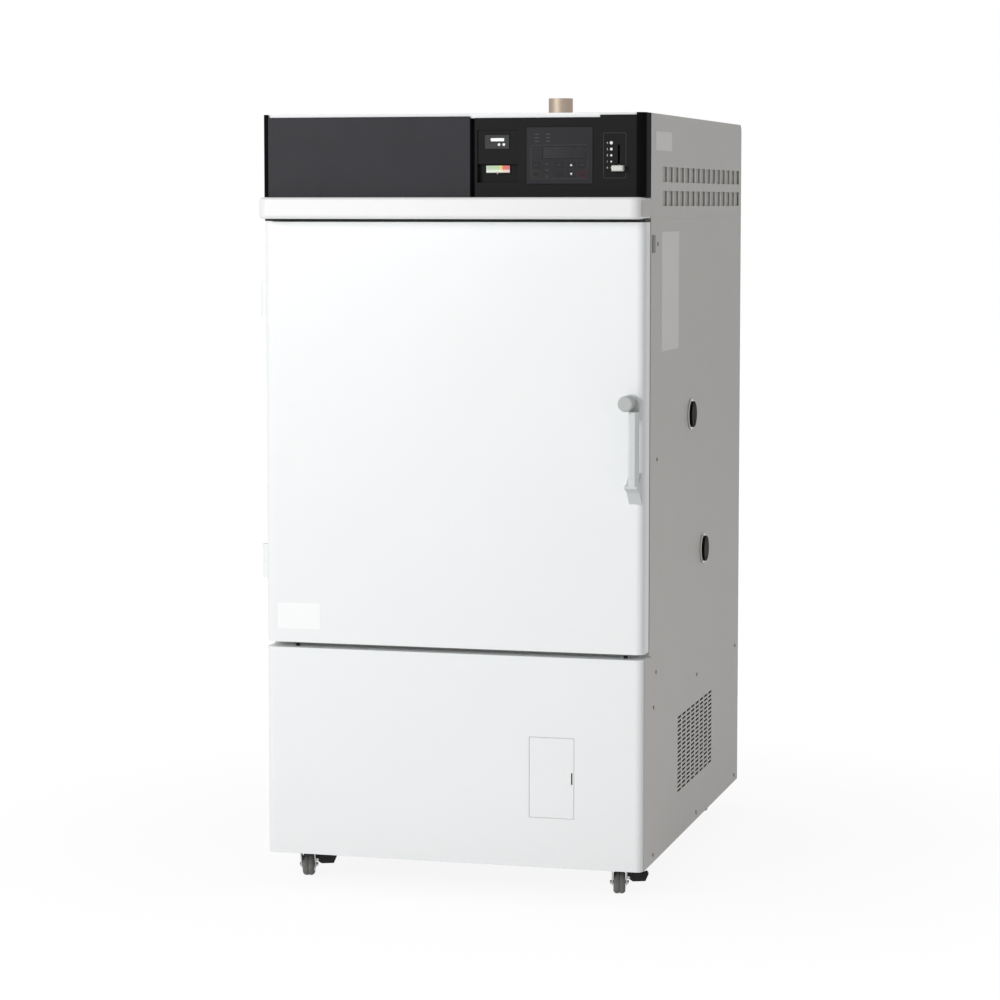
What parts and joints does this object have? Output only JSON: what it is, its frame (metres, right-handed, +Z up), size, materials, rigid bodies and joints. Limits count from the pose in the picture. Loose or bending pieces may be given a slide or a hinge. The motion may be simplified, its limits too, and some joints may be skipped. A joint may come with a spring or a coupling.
{
  "type": "cleanroom oven",
  "caption": "Floor-standing clean air drying oven on swivel casters: insulated door, filter, fan, heater, shelves, exhaust damper and controls.",
  "frame": {"origin": "on the floor, under the middle of the whole", "axes": "+Z up, -Y out of the door, +X to the right for someone facing the door"},
  "size_m": [0.8924, 1.215, 1.779],
  "materials": {
    "front_white": "smooth satin powder coat, near white",
    "body_paint": "fine-texture powder coat, warm light grey",
    "trim_white": "smooth satin coat, white",
    "fascia_black": "fine-grain moulded black",
    "cheek_black": "fine-grain moulded black",
    "instrument": "dark grey moulded",
    "gauge": "dark housing with a clear window",
    "key_grey": "light grey key",
    "knob": "light grey moulded",
    "handle_grey": "pale grey satin moulded",
    "stainless": "brushed stainless sheet",
    "exhaust": "brushed steel, straw tinted by heat",
    "zinc": "zinc-plated pressed steel",
    "gasket": "dark silicone",
    "black_plastic": "black moulded",
    "tyre": "grey rubber tread",
    "insulation": "glass-wool blanket",
    "filter": "white pleated glass paper in a metal frame",
    "motor": "grey enamel"
  },
  "bodies": {
    "cabinet": {"base_frame": "motor", "front_frame": "body_paint", "left_side_panel": "body_paint", "right_side_panel": "body_paint", "louvre_panels": "body_paint", "rear_panel": "body_paint", "top_cover": "front_white", "lower_front_panel": "front_white", "visor_trim": "trim_white", "end_cheeks": "cheek_black", "blank_fascia": "fascia_black", "control_fascia": "fascia_black", "overheat_protector": "instrument", "pressure_gauge": "gauge", "controller": "instrument", "exhaust_duct": "exhaust", "hinge_brackets": "front_white", "door_switch": "black_plastic", "port_sleeves": "stainless", "chamber_liner": "stainless", "chamber_insulation": "insulation", "inner_box": "stainless", "air_walls": "stainless", "hepa_filter": "filter", "shelf_rails": "stainless", "shelves": "stainless", "heater": "stainless", "fan_motor": "motor", "breaker": "instrument", "caster_plates": "zinc", "side_screws": "zinc", "power_gland": "black_plastic", "door_bumpers": "black_plastic"},
    "door": {"door_skin": "front_white", "door_liner": "stainless", "door_insulation": "insulation", "door_gasket": "gasket", "hinge_leaves": "front_white", "handle": "handle_grey"},
    "handle_button": {"handle_button": "handle_grey"},
    "latch": {"latch_tongue": "zinc"},
    "plug_upper": {"port_plug_upper": "black_plastic"},
    "plug_lower": {"port_plug_lower": "black_plastic"},
    "damper_lever": {"damper_lever": "knob"},
    "damper": {"damper_flap": "stainless"},
    "flap": {"breaker_flap": "front_white"},
    "breaker_lever": {"breaker_lever": "black_plastic"},
    "fan": {"fan_wheel": "zinc"},
    "key_left": {"overheat_key_left": "key_grey"},
    "key_right": {"overheat_key_right": "key_grey"},
    "fork_front_left": {"caster_fork_front_left": "zinc"},
    "wheel_front_left": {"caster_wheel_front_left": "tyre"},
    "fork_front_right": {"caster_fork_front_right": "zinc"},
    "wheel_front_right": {"caster_wheel_front_right": "tyre"},
    "fork_rear_left": {"caster_fork_rear_left": "zinc"},
    "wheel_rear_left": {"caster_wheel_rear_left": "tyre"},
    "fork_rear_right": {"caster_fork_rear_right": "zinc"},
    "wheel_rear_right": {"caster_wheel_rear_right": "tyre"},
    "pedal_front_left": {"brake_pedal_front_left": "black_plastic"},
    "pedal_front_right": {"brake_pedal_front_right": "black_plastic"}
  },
  "joints": [
    {"name": "door_hinge", "type": "hinge", "parent": "cabinet", "child": "door", "pos_m": [-0.43525, -0.4955, 1.014], "axis": [0, 0, -1], "range_deg": [0, 120]},
    {"name": "button_press", "type": "slide", "parent": "door", "child": "handle_button", "axis": [0, 1, 0], "range_m": [0, 0.006], "stiffness_N_per_m": 400},
    {"name": "latch_slide", "type": "slide", "parent": "door", "child": "latch", "axis": [-1, 0, 0], "range_m": [0, 0.0045]},
    {"name": "upper_plug_pull", "type": "slide", "parent": "cabinet", "child": "plug_upper", "axis": [1, 0, 0], "range_m": [0, 0.09]},
    {"name": "lower_plug_pull", "type": "slide", "parent": "cabinet", "child": "plug_lower", "axis": [1, 0, 0], "range_m": [0, 0.09]},
    {"name": "damper_lever_slide", "type": "slide", "parent": "cabinet", "child": "damper_lever", "axis": [0, 0, 1], "range_m": [0, 0.045]},
    {"name": "damper_turn", "type": "hinge", "parent": "cabinet", "child": "damper", "pos_m": [0.00625, 0.4545, 1.64], "axis": [1, 0, 0], "range_deg": [0, 90]},
    {"name": "flap_hinge", "type": "hinge", "parent": "cabinet", "child": "flap", "pos_m": [0.18305, -0.5447, 0.27], "axis": [0, 0, -1], "range_deg": [0, 110]},
    {"name": "breaker_toggle", "type": "hinge", "parent": "cabinet", "child": "breaker_lever", "pos_m": [0.23225, -0.5115, 0.27], "axis": [1, 0, 0], "range_deg": [0, 40]},
    {"name": "fan_spin", "type": "hinge", "parent": "cabinet", "child": "fan", "pos_m": [0.00625, 0.2545, 1.014], "axis": [0, 1, 0], "continuous": true},
    {"name": "left_key_press", "type": "slide", "parent": "cabinet", "child": "key_left", "axis": [0, 1, 0], "range_m": [0, 0.001], "stiffness_N_per_m": 300},
    {"name": "right_key_press", "type": "slide", "parent": "cabinet", "child": "key_right", "axis": [0, 1, 0], "range_m": [0, 0.001], "stiffness_N_per_m": 300},
    {"name": "front_left_swivel", "type": "hinge", "parent": "cabinet", "child": "fork_front_left", "pos_m": [-0.35475, -0.4655, 0.068], "axis": [0, 0, 1], "continuous": true},
    {"name": "front_left_roll", "type": "hinge", "parent": "fork_front_left", "child": "wheel_front_left", "pos_m": [-0.3597, -0.44406, 0.025], "axis": [0.9744, 0.225, 0], "continuous": true},
    {"name": "front_right_swivel", "type": "hinge", "parent": "cabinet", "child": "fork_front_right", "pos_m": [0.36725, -0.4655, 0.068], "axis": [0, 0, 1], "continuous": true},
    {"name": "front_right_roll", "type": "hinge", "parent": "fork_front_right", "child": "wheel_front_right", "pos_m": [0.3623, -0.44406, 0.025], "axis": [0.9744, 0.225, 0], "continuous": true},
    {"name": "rear_left_swivel", "type": "hinge", "parent": "cabinet", "child": "fork_rear_left", "pos_m": [-0.35475, 0.4845, 0.068], "axis": [0, 0, 1], "continuous": true},
    {"name": "rear_left_roll", "type": "hinge", "parent": "fork_rear_left", "child": "wheel_rear_left", "pos_m": [-0.3597, 0.50594, 0.025], "axis": [0.9744, 0.225, 0], "continuous": true},
    {"name": "rear_right_swivel", "type": "hinge", "parent": "cabinet", "child": "fork_rear_right", "pos_m": [0.36725, 0.4845, 0.068], "axis": [0, 0, 1], "continuous": true},
    {"name": "rear_right_roll", "type": "hinge", "parent": "fork_rear_right", "child": "wheel_rear_right", "pos_m": [0.3623, 0.50594, 0.025], "axis": [0.9744, 0.225, 0], "continuous": true},
    {"name": "front_left_brake", "type": "hinge", "parent": "fork_front_left", "child": "pedal_front_left", "pos_m": [-0.33982, -0.43948, 0.038], "axis": [-0.225, 0.9744, 0], "range_deg": [0, 12]},
    {"name": "front_right_brake", "type": "hinge", "parent": "fork_front_right", "child": "pedal_front_right", "pos_m": [0.38218, -0.43948, 0.038], "axis": [-0.225, 0.9744, 0], "range_deg": [0, 12]}
  ],
  "couplings": [
    {"joint": "latch_slide", "follows": "button_press", "ratio": 0.75},
    {"joint": "damper_turn", "follows": "damper_lever_slide", "rad_per_m": 34.907}
  ]
}
